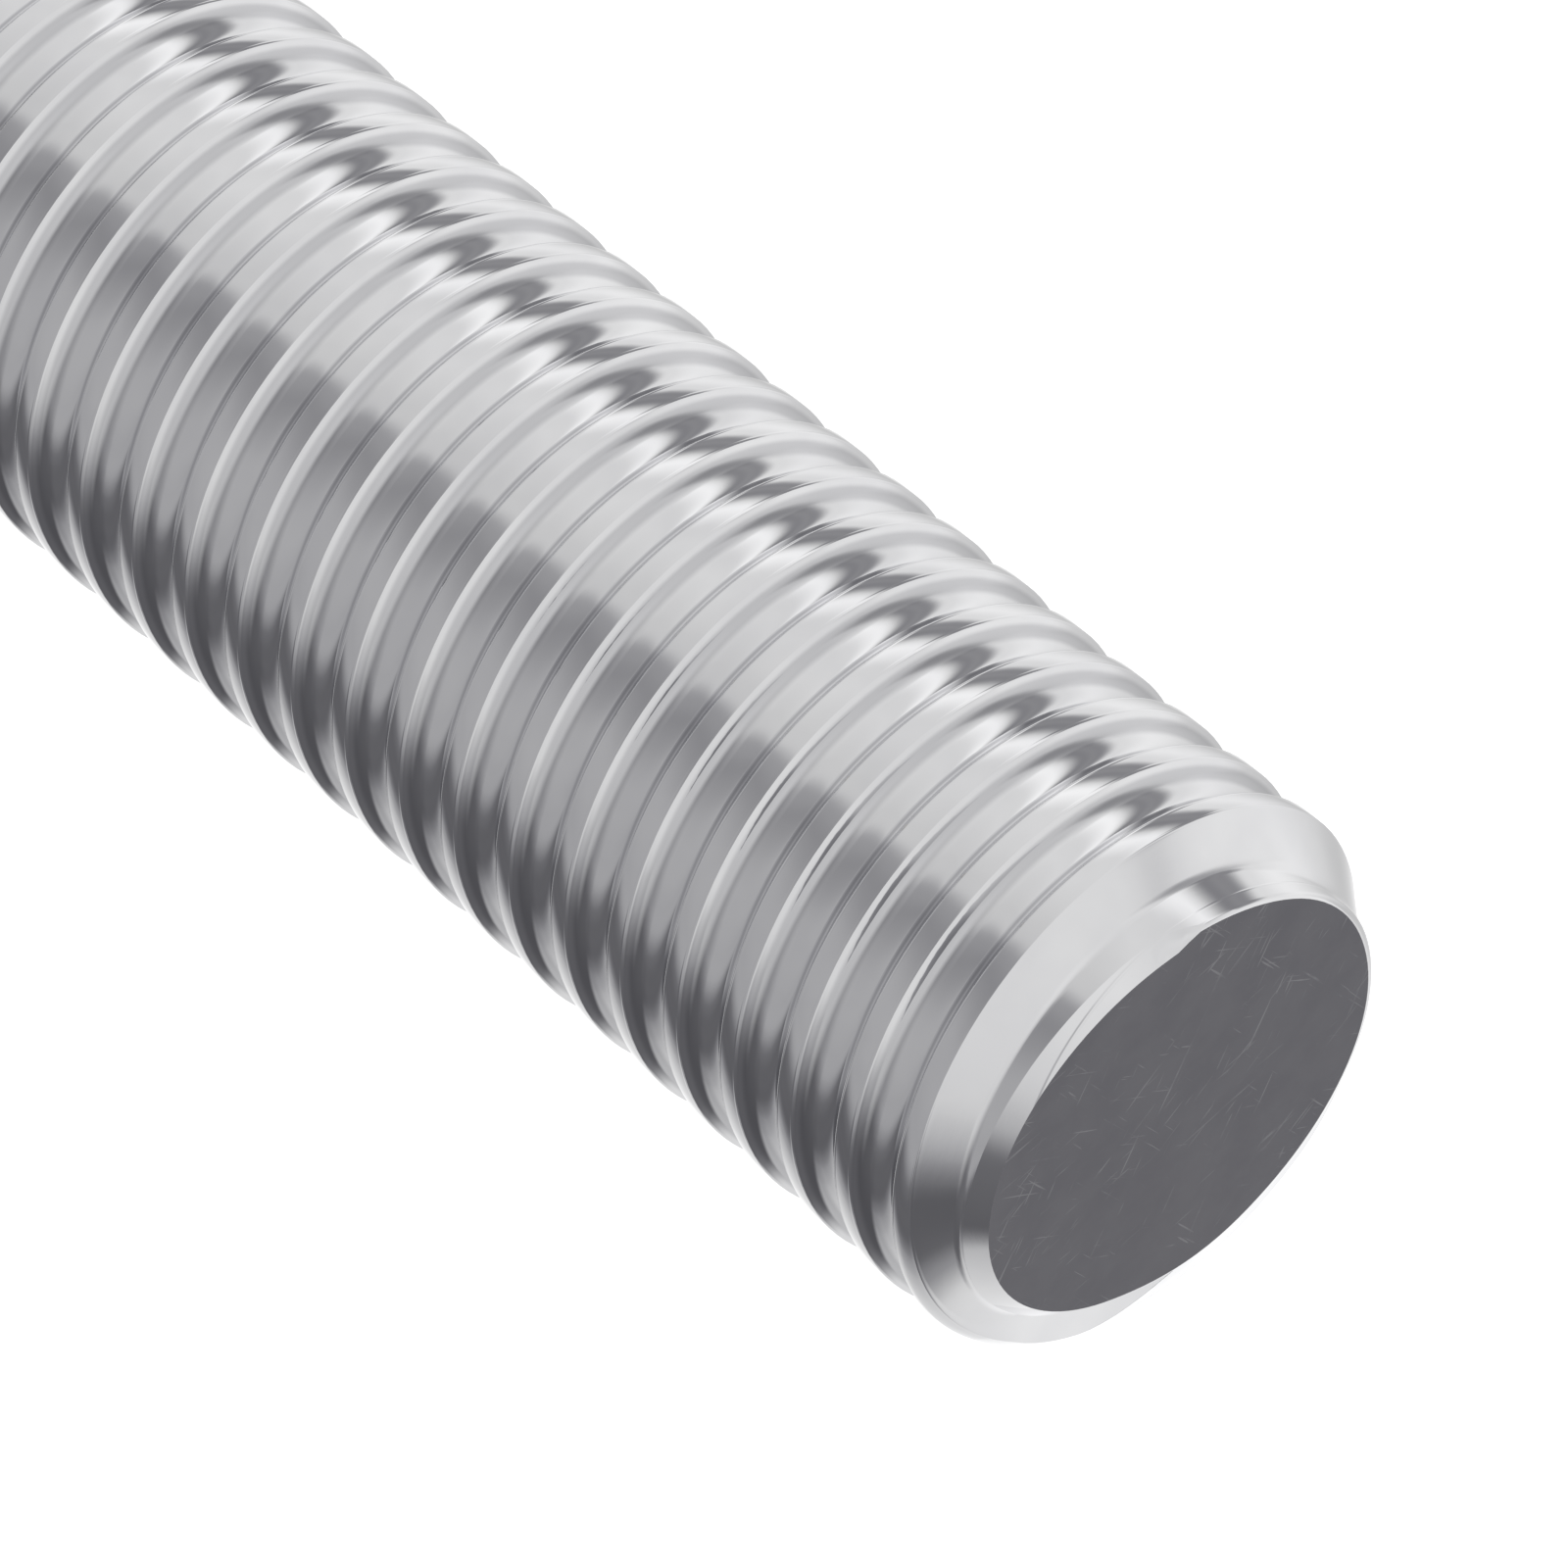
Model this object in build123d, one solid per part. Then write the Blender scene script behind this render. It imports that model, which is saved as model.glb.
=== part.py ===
from build123d import *
import math
import os

# A ball screw drive: a screw shaft on one fixed-side support unit, with its ball nut.
# Millimetres. The origin is the middle of the support unit's base, +Z is up, and the
# shaft lies along +X with its free end at +X. Angles about the shaft are in degrees
# from +Z towards -Y, which is the right-hand turn about +X.

# Driving dimensions: screw thread and ball track
SCREW_DIA = 35.2
LEAD = 5.0
BALL_DIA = 3.175
BALL_CIRCLE_DIA = 36.0
GROOVE_R = 1.8
LAST_RIDGE_X = 288.0
LAST_RIDGE_ANGLE = 33.65

# Driving dimensions: free end of the shaft
CREST_EDGE_X = 0.6
STUB_X = 3.0
STUB_DIA = 29.76
FACE_X = 3.914
FACE_SLOPE = 0.0711
FACE_SLOPE_ANGLE = 8.7
END_BEVEL_X = 0.5
END_BEVEL_SHIFT = 1.5
END_BEVEL_ANGLE = 84.0

# Driving dimensions: journals at the support end
AXIS_Z = 48.0
SHOULDER_X = 28.0
SEAT_DIA = 25.0
SEAT_CLEARANCE = 0.02
LOCK_THREAD_X = -24.0
LOCK_THREAD_END_X = -46.0
DRIVE_DIA = 20.0
DRIVE_END_X = -97.0

# Driving dimensions: support unit
HOUSING_LENGTH = 42.0
HOUSING_WIDTH = 106.0
SHOULDER_HEIGHT = 70.0
HOUSING_HEIGHT = 80.0
HOUSING_TOP_WIDTH = 64.0
BASE_BOLT_SPACING_X = 22.0
BASE_BOLT_SPACING_Y = 85.0
BASE_BOLT_HOLE_DIA = 11.0
BASE_BOLT_HEAD_DIA = 17.5
BASE_BOLT_HEAD_DEPTH = 11.0
COVER_THICKNESS = 8.0
COVER_BOLT_SPACING = 51.0
COVER_CORNER = 3.0
COVER_SCREW_DIA = 5.0
COVER_SCREW_CLEARANCE = 0.25
COVER_SCREW_REACH = 10.0
COVER_SCREW_HOLE_DEPTH = 12.0
COVER_SCREW_HEAD_R = 4.25
COVER_SCREW_SOCKET_R = 2.3
COVER_SCREW_SOCKET_DEPTH = 2.5
SEAL_WIDTH = 6.0
SEAL_DIA = 44.0
SEAL_LIP_GAP = 0.1
SEAL_WALL = 1.6
SEAL_LEDGE = 3.0
SEAL_SET_BACK = 0.5
COLLAR_DIA = 34.0
OUTER_COLLAR_LENGTH = 13.0
LOCK_NUT_LENGTH = 18.0
LOCK_NUT_DIA = 40.0
LOCK_SCREW_ANGLES = (45, 165)
LOCK_SCREW_R = 2.5
LOCK_PAD_LENGTH = 3.0
LOCK_SLOT_WIDTH = 6.0
LOCK_SLOT_DEPTH = 2.5
LOCK_SOCKET_R = 1.4
LOCK_SOCKET_DEPTH = 2.0
LOCK_SCREW_SET_BACK = 0.5

# Driving dimensions: angular contact ball bearing
BEARING_WIDTH = 15.0
BEARING_DIA = 52.0
BEARING_PITCH_DIA = 38.5
BEARING_BALL_DIA = 7.94
BEARING_BALLS = 13
BEARING_START_X = -13.0
BEARING_LAND_SHARE = 0.6
CAGE_HALF_SHARE = 0.7
CAGE_WALL = 1.0

# Driving dimensions: ball nut
NUT_X = 87.0
NUT_LENGTH = 60.0
NUT_DIA = 56.0
NUT_BORE_DIA = 35.9
FLANGE_DIA = 86.0
FLANGE_THICKNESS = 14.0
FLANGE_FLATS = 76.0
FLANGE_BOLT_CIRCLE = 71.0
FLANGE_HOLES = 6
FLANGE_HOLE_DIA = 9.0
GROOVE_START_GAP = 1.0
GROOVE_END_GAP = 8.0
NIPPLE_R = 3.0
NIPPLE_STEM = 6.0
NIPPLE_HEX_R = 4.6
NIPPLE_HEX_HEIGHT = 3.0
NIPPLE_OUTLINE = ((0, 3), (3.2, 3), (1.9, 5), (1.9, 6.2), (2.8, 7), (2.8, 7.8), (1.4, 9.2), (0, 9.2))
OIL_HOLE_R = 1.5
WIPER_DIA = 46.0
WIPER_WIDTH = 4.5
WIPER_POCKET_DEPTH = 6.5
SNAP_RING_WIDTH = 1.2
SNAP_RING_HEIGHT = 3.0
SNAP_RING_BITE = 1.0
SNAP_RING_OPENING = 9.0
CIRCUITS = 4
CIRCUIT_STEP = 1.75 * LEAD
FIRST_CIRCUIT_X = 108.5
BALL_GAP = 0.08
CROSSING_ANGLE = 20.0
CROSSING_LIFT = 1.4
CHANNEL_REACH = 34.0
CHANNEL_STEPS = 6
DEFLECTOR_LENGTH = 18.0
DEFLECTOR_WIDTH = 10.0
DEFLECTOR_SET_BACK = 0.6
DEFLECTOR_FOOT = 4.0
CHAMFER = 1.0
FIT_GAP = 0.05
BALL_ROOM = 0.15
TINY = 0.001

# Worked out from the above
SCREW_R = SCREW_DIA / 2
TRACK_R = BALL_CIRCLE_DIA / 2
HOUSING_FACE_X = HOUSING_LENGTH / 2
BEARING_END_X = BEARING_START_X + 2 * BEARING_WIDTH
SEAT_R = SEAT_DIA / 2
NUT_END_X = NUT_X + NUT_LENGTH
SHAFT_AXIS = Axis((0, 0, AXIS_Z), (1, 0, 0))
FIRST_GROOVE_X = LAST_RIDGE_X + LEAD / 2 - LEAD * LAST_RIDGE_ANGLE / 360


def around(angle, radius, x=0.0):
    """The point at this angle and radius about the shaft."""
    turn = math.radians(angle)
    return Vector(x, -radius * math.sin(turn), AXIS_Z + radius * math.cos(turn))


def turned(*outline):
    """A solid turned about the shaft from an outline of (x, radius) points."""
    corners = [(x, 0, AXIS_Z + radius) for x, radius in outline]
    return revolve(make_face(Polyline(*corners, close=True)), SHAFT_AXIS, 360)


def ring(x_low, x_high, r_in, r_out, bevel=0.0):
    """A plain ring on the shaft, its outer edges bevelled."""
    return turned(
        (x_low, r_in),
        (x_low, r_out - bevel),
        (x_low + bevel + TINY, r_out),
        (x_high - bevel - TINY, r_out),
        (x_high, r_out - bevel),
        (x_high, r_in),
    )


def bar(x_low, x_high, radius, y=0.0, z=0.0):
    """A round bar along X, offset by y and z from the shaft."""
    middle = Pos((x_low + x_high) / 2, y, AXIS_Z + z)
    return middle * Rot(0, 90, 0) * Cylinder(radius, x_high - x_low)


def radial_plane(angle, radius, x):
    """A plane across a radius of the shaft, its x along the shaft and z outwards."""
    outwards = around(angle, 1.0) - Vector(0, 0, AXIS_Z)
    return Plane(origin=around(angle, radius, x), x_dir=(1, 0, 0), z_dir=outwards)


def radial_pin(angle, r_low, r_high, x, radius):
    """A round pin standing out from the shaft at this angle."""
    return extrude(radial_plane(angle, r_low, x) * Circle(radius), r_high - r_low)


def groove_x(angle):
    """Where the middle of a groove crosses this angle, for one of its turns."""
    return FIRST_GROOVE_X + LEAD * angle / 360


def helical_groove(x_low, turns):
    """The round ball track from about x_low on, as a solid to cut away."""
    start_angle = 180.0
    turns_back = math.floor((groove_x(start_angle) - x_low) / LEAD)
    start_x = groove_x(start_angle) - turns_back * LEAD
    path = Helix(LEAD, LEAD * turns, TRACK_R)
    track = sweep(Plane(path @ 0, z_dir=path % 0) * Circle(GROOVE_R), path=path, is_frenet=True)
    return Pos(start_x, 0, AXIS_Z) * Rot(0, 90, 0) * track


def screw_shaft():
    """Journals, thread and the free end, which is cut a little out of square."""
    seat_r = SEAT_R - SEAT_CLEARANCE
    lock_r = SEAT_R - FIT_GAP
    drive_r = DRIVE_DIA / 2
    stub_x = LAST_RIDGE_X + STUB_X
    stub_r = STUB_DIA / 2
    run_on = 12.0
    blank = bar(SHOULDER_X - run_on, LAST_RIDGE_X + run_on, SCREW_R)
    turns = math.ceil((LAST_RIDGE_X - SHOULDER_X + run_on) / LEAD)
    threaded = blank - helical_groove(SHOULDER_X - run_on / 2, turns)
    envelope = turned(
        (SHOULDER_X, 0),
        (SHOULDER_X, SCREW_R - CHAMFER),
        (SHOULDER_X + CHAMFER, SCREW_R),
        (LAST_RIDGE_X + CREST_EDGE_X, SCREW_R),
        (stub_x, stub_r),
        (stub_x + STUB_X, stub_r),
        (stub_x + STUB_X, 0),
    )
    threaded = threaded & envelope
    threaded = threaded - end_cut()
    journals = turned(
        (DRIVE_END_X, 0),
        (DRIVE_END_X, drive_r - CHAMFER),
        (DRIVE_END_X + CHAMFER, drive_r),
        (LOCK_THREAD_END_X - CHAMFER, drive_r),
        (LOCK_THREAD_END_X - CHAMFER, lock_r - CHAMFER),
        (LOCK_THREAD_END_X, lock_r),
        (LOCK_THREAD_X, lock_r),
        (LOCK_THREAD_X, seat_r),
        (SHOULDER_X, seat_r),
        (SHOULDER_X, 0),
    )
    return threaded + journals


def end_cut():
    """What the saw and the file took off the free end: the skew face and its one-sided bevel."""
    lean = around(FACE_SLOPE_ANGLE, FACE_SLOPE) - Vector(0, 0, AXIS_Z)
    face_x = LAST_RIDGE_X + FACE_X
    face = Plane(origin=(face_x, 0, AXIS_Z), z_dir=Vector(1, 0, 0) - lean)
    beyond = extrude(face * Circle(SCREW_DIA), SCREW_DIA)
    reach = STUB_DIA / 2
    bevel_x = face_x + END_BEVEL_X
    start_x = LAST_RIDGE_X + STUB_X
    shift = around(END_BEVEL_ANGLE, END_BEVEL_SHIFT) - Vector(0, 0, AXIS_Z)
    wedge = turned(
        (start_x, reach + bevel_x - start_x),
        (start_x, 2 * reach),
        (bevel_x + reach, 2 * reach),
        (bevel_x + reach, TINY),
    )
    return beyond + Pos(-shift.X, -shift.Y, -shift.Z) * wedge


def support_housing():
    """A stepped block, bored from the nut side, with four bolts down through its shoulders."""
    side = HOUSING_WIDTH / 2
    top = HOUSING_TOP_WIDTH / 2
    outline = Polyline(
        (-HOUSING_FACE_X, -side, 0),
        (-HOUSING_FACE_X, side, 0),
        (-HOUSING_FACE_X, side, SHOULDER_HEIGHT),
        (-HOUSING_FACE_X, top, SHOULDER_HEIGHT),
        (-HOUSING_FACE_X, top, HOUSING_HEIGHT),
        (-HOUSING_FACE_X, -top, HOUSING_HEIGHT),
        (-HOUSING_FACE_X, -top, SHOULDER_HEIGHT),
        (-HOUSING_FACE_X, -side, SHOULDER_HEIGHT),
        close=True,
    )
    block = extrude(make_face(outline), HOUSING_LENGTH, dir=(1, 0, 0))
    long_edges = block.edges().filter_by(Axis.X).sort_by(Axis.Z)
    block = chamfer(long_edges[2:], CHAMFER)
    seal_r = SEAL_DIA / 2
    bore = turned(
        (-HOUSING_FACE_X, 0),
        (-HOUSING_FACE_X, seal_r),
        (-HOUSING_FACE_X + SEAL_WIDTH + SEAL_SET_BACK, seal_r),
        (-HOUSING_FACE_X + SEAL_WIDTH + SEAL_SET_BACK, seal_r - SEAL_LEDGE),
        (BEARING_START_X, seal_r - SEAL_LEDGE),
        (BEARING_START_X, BEARING_DIA / 2),
        (HOUSING_FACE_X, BEARING_DIA / 2),
        (HOUSING_FACE_X, 0),
    )
    block = block - bore
    head_floor = SHOULDER_HEIGHT - BASE_BOLT_HEAD_DEPTH
    for place in GridLocations(BASE_BOLT_SPACING_X, BASE_BOLT_SPACING_Y, 2, 2):
        block = block - place * Pos(0, 0, SHOULDER_HEIGHT / 2) * Cylinder(
            BASE_BOLT_HOLE_DIA / 2, SHOULDER_HEIGHT)
        block = block - place * Pos(0, 0, head_floor) * Cylinder(
            BASE_BOLT_HEAD_DIA / 2, BASE_BOLT_HEAD_DEPTH, align=(Align.CENTER, Align.CENTER, Align.MIN))
    for y, z in cover_bolt_places():
        hole_x = HOUSING_FACE_X - COVER_SCREW_HOLE_DEPTH
        block = block - bar(hole_x, HOUSING_FACE_X, COVER_SCREW_DIA / 2 + FIT_GAP, y, z)
    return block


def cover_bolt_places():
    """Offsets of the four cover screws from the shaft."""
    half = COVER_BOLT_SPACING / 2
    return [(y, z) for y in (-half, half) for z in (-half, half)]


def bearing_cover():
    """The square cover that presses the outer rings home and holds the seal on the nut side."""
    width = HOUSING_TOP_WIDTH
    outer_x = HOUSING_FACE_X + COVER_THICKNESS
    plate = Pos(HOUSING_FACE_X + COVER_THICKNESS / 2, 0, AXIS_Z) * Box(COVER_THICKNESS, width, width)
    plate = chamfer(plate.edges().filter_by(Axis.X), COVER_CORNER)
    seal_r = SEAL_DIA / 2
    plate = plate + ring(BEARING_END_X, HOUSING_FACE_X + CHAMFER, seal_r, BEARING_DIA / 2 - FIT_GAP)
    plate = plate - turned(
        (BEARING_END_X, 0),
        (BEARING_END_X, seal_r - SEAL_LEDGE),
        (HOUSING_FACE_X, seal_r - SEAL_LEDGE),
        (HOUSING_FACE_X, seal_r),
        (outer_x, seal_r),
        (outer_x, 0),
    )
    plate = plate + ring(BEARING_END_X, HOUSING_FACE_X, seal_r - SEAL_LEDGE, seal_r + CHAMFER)
    for y, z in cover_bolt_places():
        plate = plate - bar(HOUSING_FACE_X, outer_x, COVER_SCREW_DIA / 2 + COVER_SCREW_CLEARANCE, y, z)
        plate = plate - bar(outer_x - COVER_SCREW_DIA, outer_x, COVER_SCREW_DIA, y, z)
    return plate


def cover_screws():
    """Four socket-head cap screws, their heads sunk in the cover."""
    head_x = HOUSING_FACE_X + COVER_THICKNESS - COVER_SCREW_DIA
    screws = []
    for y, z in cover_bolt_places():
        screw = bar(HOUSING_FACE_X - COVER_SCREW_REACH, head_x, COVER_SCREW_DIA / 2, y, z)
        head = bar(head_x, head_x + COVER_SCREW_DIA, COVER_SCREW_HEAD_R, y, z)
        socket_x = head_x + COVER_SCREW_DIA - COVER_SCREW_SOCKET_DEPTH
        socket_plane = Plane(origin=(socket_x, y, AXIS_Z + z), z_dir=(1, 0, 0))
        socket = extrude(socket_plane * RegularPolygon(COVER_SCREW_SOCKET_R, 6), COVER_SCREW_DIA)
        screws.append(screw + head - socket)
    return Compound([part.solid() for part in screws])


def oil_seal(x_low):
    """A radial lip seal whose lip rides on the collar."""
    lip_r = COLLAR_DIA / 2 + SEAL_LIP_GAP
    wall = SEAL_WALL
    x_high = x_low + SEAL_WIDTH
    return turned(
        (x_low, SEAL_DIA / 2 - FIT_GAP),
        (x_high, SEAL_DIA / 2 - FIT_GAP),
        (x_high, lip_r + wall),
        (x_high - wall, lip_r),
        (x_high - 2 * wall, lip_r + wall / 2),
        (x_low + wall, lip_r + wall),
        (x_low, lip_r + wall),
    )


def bearing_torus(x_mid):
    """The ball raceway, a little larger than the balls."""
    place = Pos(x_mid, 0, AXIS_Z) * Rot(0, 90, 0)
    return place * Torus(BEARING_PITCH_DIA / 2, BEARING_BALL_DIA / 2 + BALL_ROOM)


def bearing_parts(x_low):
    """Outer ring, inner ring, cage and balls of one bearing."""
    x_high = x_low + BEARING_WIDTH
    x_mid = x_low + BEARING_WIDTH / 2
    pitch_r = BEARING_PITCH_DIA / 2
    ball_r = BEARING_BALL_DIA / 2
    land = BEARING_LAND_SHARE * ball_r
    outer = ring(x_low, x_high, pitch_r + land, BEARING_DIA / 2 - SEAT_CLEARANCE, CHAMFER)
    inner = ring(x_low, x_high, SEAT_R, pitch_r - land)
    raceway = bearing_torus(x_mid)
    cage_half = CAGE_HALF_SHARE * BEARING_BALL_DIA
    cage = ring(x_mid - cage_half, x_mid + cage_half, pitch_r - CAGE_WALL, pitch_r + CAGE_WALL)
    balls = []
    for index in range(BEARING_BALLS):
        angle = 360 * index / BEARING_BALLS
        balls.append((Pos(around(angle, pitch_r, x_mid)) * Sphere(ball_r)).solid())
        cage = cage - radial_pin(angle, pitch_r - ball_r, pitch_r + ball_r, x_mid, ball_r + BALL_ROOM)
    return outer - raceway, inner - raceway, cage, Compound(balls)


def lock_nut(x_low):
    """A round nut with four spanner slots and two radial tapped holes."""
    outer_r = LOCK_NUT_DIA / 2
    nut = ring(x_low, x_low + LOCK_NUT_LENGTH, SEAT_R, outer_r, CHAMFER)
    x_mid = x_low + LOCK_NUT_LENGTH / 2
    for angle in range(0, 360, 90):
        slot = radial_plane(angle, outer_r - LOCK_SLOT_DEPTH, x_mid)
        nut = nut - extrude(slot * Rectangle(2 * LOCK_NUT_LENGTH, LOCK_SLOT_WIDTH), outer_r)
    for angle in LOCK_SCREW_ANGLES:
        nut = nut - radial_pin(angle, 0, LOCK_NUT_DIA, x_mid, LOCK_SCREW_R + FIT_GAP)
    return nut


def lock_nut_pads(x_mid):
    """Brass pads that the set screws press on the thread."""
    pads = [radial_pin(a, SEAT_R, SEAT_R + LOCK_PAD_LENGTH, x_mid, LOCK_SCREW_R) for a in LOCK_SCREW_ANGLES]
    return Compound([pad.solid() for pad in pads])


def lock_nut_set_screws(x_mid):
    """Socket set screws behind the pads."""
    screws = []
    top_r = LOCK_NUT_DIA / 2 - LOCK_SCREW_SET_BACK
    for angle in LOCK_SCREW_ANGLES:
        screw = radial_pin(angle, SEAT_R + LOCK_PAD_LENGTH, top_r, x_mid, LOCK_SCREW_R)
        socket = radial_plane(angle, top_r - LOCK_SOCKET_DEPTH, x_mid) * RegularPolygon(LOCK_SOCKET_R, 6)
        screws.append((screw - extrude(socket, 2 * LOCK_SOCKET_DEPTH)).solid())
    return Compound(screws)


def circuit_middle(index):
    """Angle and x of the middle of a ball circuit, on the side away from its deflector."""
    start_angle = (FIRST_CIRCUIT_X - FIRST_GROOVE_X) / LEAD * 360 % 360
    return start_angle - 90 * index, FIRST_CIRCUIT_X + CIRCUIT_STEP * index


def circuit_point(index, angle):
    """The ball path's point this far round a circuit, from -180 to 180 about its middle."""
    middle_angle, middle_x = circuit_middle(index)
    edge = 180 - CROSSING_ANGLE
    if abs(angle) <= edge:
        return around(middle_angle + angle, TRACK_R, middle_x + LEAD * angle / 360)
    over = (angle - edge) if angle > 0 else (angle + 360 - edge)
    share = over / (2 * CROSSING_ANGLE)
    blend = share * share * (3 - 2 * share)
    lift = CROSSING_LIFT * math.sin(math.pi * share)
    x = middle_x + LEAD * edge / 360 * (1 - 2 * blend)
    return around(middle_angle + angle, TRACK_R + lift, x)


def ball_circuit(index):
    """One closed turn of balls, evenly spaced along its path."""
    steps = 720
    points = [circuit_point(index, -180 + 360 * step / steps) for step in range(steps + 1)]
    lengths = [0.0]
    for before, after in zip(points, points[1:]):
        lengths.append(lengths[-1] + (after - before).length)
    count = int(lengths[-1] / (BALL_DIA + BALL_GAP))
    spacing = lengths[-1] / count
    balls = []
    for number in range(count):
        step = next(i for i, length in enumerate(lengths) if length >= number * spacing)
        balls.append((Pos(points[step]) * Sphere(BALL_DIA / 2)).solid())
    return Compound(balls)


def deflector_prism(index, clearance):
    """A deflector's stadium outline, as a prism right through the nut's wall."""
    middle_angle, middle_x = circuit_middle(index)
    plane = radial_plane(middle_angle + 180, TRACK_R - DEFLECTOR_FOOT, middle_x)
    outline = Rot(0, 0, 90) * SlotOverall(DEFLECTOR_LENGTH - clearance, DEFLECTOR_WIDTH - clearance)
    return extrude(plane * outline, NUT_DIA / 2)


def return_deflector(index):
    """An insert whose underside lifts the balls over the crest, back to the turn before."""
    wall = ring(NUT_X, NUT_END_X, NUT_BORE_DIA / 2, NUT_DIA / 2 - DEFLECTOR_SET_BACK)
    insert = deflector_prism(index, 2 * FIT_GAP) & wall
    steps = range(-CHANNEL_STEPS, CHANNEL_STEPS + 1)
    marks = [180 + CHANNEL_REACH * step / CHANNEL_STEPS for step in steps]
    points = [circuit_point(index, mark if mark <= 180 else mark - 360) for mark in marks]
    path = Spline(*points)
    channel = Plane(path @ 0, z_dir=path % 0) * Circle(BALL_DIA / 2 + BALL_ROOM)
    insert = insert - sweep(channel, path=path)
    return insert


def nut_body():
    """Flanged nut, bored and grooved, with a pocket for each deflector and each wiper."""
    bore_r = NUT_BORE_DIA / 2
    flange_r = FLANGE_DIA / 2
    body_r = NUT_DIA / 2
    flange_x = NUT_X + FLANGE_THICKNESS
    body = turned(
        (NUT_X, bore_r),
        (NUT_X, flange_r - CHAMFER),
        (NUT_X + CHAMFER, flange_r),
        (flange_x - CHAMFER, flange_r),
        (flange_x, flange_r - CHAMFER),
        (flange_x, body_r),
        (NUT_END_X - CHAMFER, body_r),
        (NUT_END_X, body_r - CHAMFER),
        (NUT_END_X, bore_r),
    )
    groove_start = flange_x + GROOVE_START_GAP
    body = body - helical_groove(groove_start, (NUT_END_X - GROOVE_END_GAP - groove_start) / LEAD)
    flat_box = Pos(NUT_X, 0, AXIS_Z) * Box(4 * FLANGE_THICKNESS, FLANGE_DIA, FLANGE_FLATS)
    flat_zone = Pos(NUT_X, 0, AXIS_Z) * Box(2 * FLANGE_THICKNESS, 2 * FLANGE_DIA, 2 * FLANGE_DIA)
    body = body - (flat_zone - flat_box)
    for hole in range(FLANGE_HOLES):
        centre = around(360 * hole / FLANGE_HOLES + 90, FLANGE_BOLT_CIRCLE / 2)
        body = body - bar(NUT_X, flange_x, FLANGE_HOLE_DIA / 2, centre.Y, centre.Z - AXIS_Z)
    for x_low, x_high in wiper_pockets():
        body = body - ring(x_low, x_high, bore_r - CHAMFER, WIPER_DIA / 2)
    for x_low in snap_ring_starts():
        x_high = x_low + SNAP_RING_WIDTH + FIT_GAP
        body = body - ring(x_low, x_high, bore_r - CHAMFER, WIPER_DIA / 2 + SNAP_RING_BITE)
    for index in range(CIRCUITS):
        body = body - deflector_prism(index, 0.0)
    nipple_x = NUT_X + FLANGE_THICKNESS / 2
    body = body - radial_pin(0, TRACK_R, FLANGE_DIA, nipple_x, OIL_HOLE_R)
    body = body - radial_pin(0, FLANGE_FLATS / 2 - NIPPLE_STEM, FLANGE_DIA, nipple_x, NIPPLE_R + FIT_GAP)
    return body


def wiper_pockets():
    """The counterbores at the nut's two ends, as x ranges."""
    return ((NUT_X, NUT_X + WIPER_POCKET_DEPTH), (NUT_END_X - WIPER_POCKET_DEPTH, NUT_END_X))


def snap_ring_starts():
    """Low x of the two snap rings, just outside their wipers."""
    near = NUT_X + WIPER_POCKET_DEPTH - WIPER_WIDTH - SNAP_RING_WIDTH - FIT_GAP
    far = NUT_END_X - WIPER_POCKET_DEPTH + WIPER_WIDTH
    return (near, far)


def wiper(x_low):
    """A felt-lipped ring that sweeps the shaft clean."""
    return ring(x_low, x_low + WIPER_WIDTH, NUT_BORE_DIA / 2, WIPER_DIA / 2 - FIT_GAP)


def snap_ring(x_low):
    """An internal snap ring with a gap at the bottom."""
    outer_r = WIPER_DIA / 2 + SNAP_RING_BITE - FIT_GAP
    whole = ring(x_low, x_low + SNAP_RING_WIDTH, WIPER_DIA / 2 - SNAP_RING_HEIGHT, outer_r)
    gap = radial_plane(180, 0, x_low) * Rectangle(4 * SNAP_RING_WIDTH, SNAP_RING_OPENING)
    return whole - extrude(gap, WIPER_DIA)


def grease_nipple():
    """A straight hexagonal nipple on the flange's top flat."""
    x = NUT_X + FLANGE_THICKNESS / 2
    flat_z = AXIS_Z + FLANGE_FLATS / 2
    stem = Pos(x, 0, flat_z - NIPPLE_STEM / 2) * Cylinder(NIPPLE_R, NIPPLE_STEM)
    base = extrude(Pos(x, 0, flat_z) * RegularPolygon(NIPPLE_HEX_R, 6), NIPPLE_HEX_HEIGHT)
    corners = [(x + radius, 0, flat_z + height) for radius, height in NIPPLE_OUTLINE]
    head = revolve(make_face(Polyline(*corners, close=True)), Axis((x, 0, 0), (0, 0, 1)), 360)
    return stem + base + head


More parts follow.
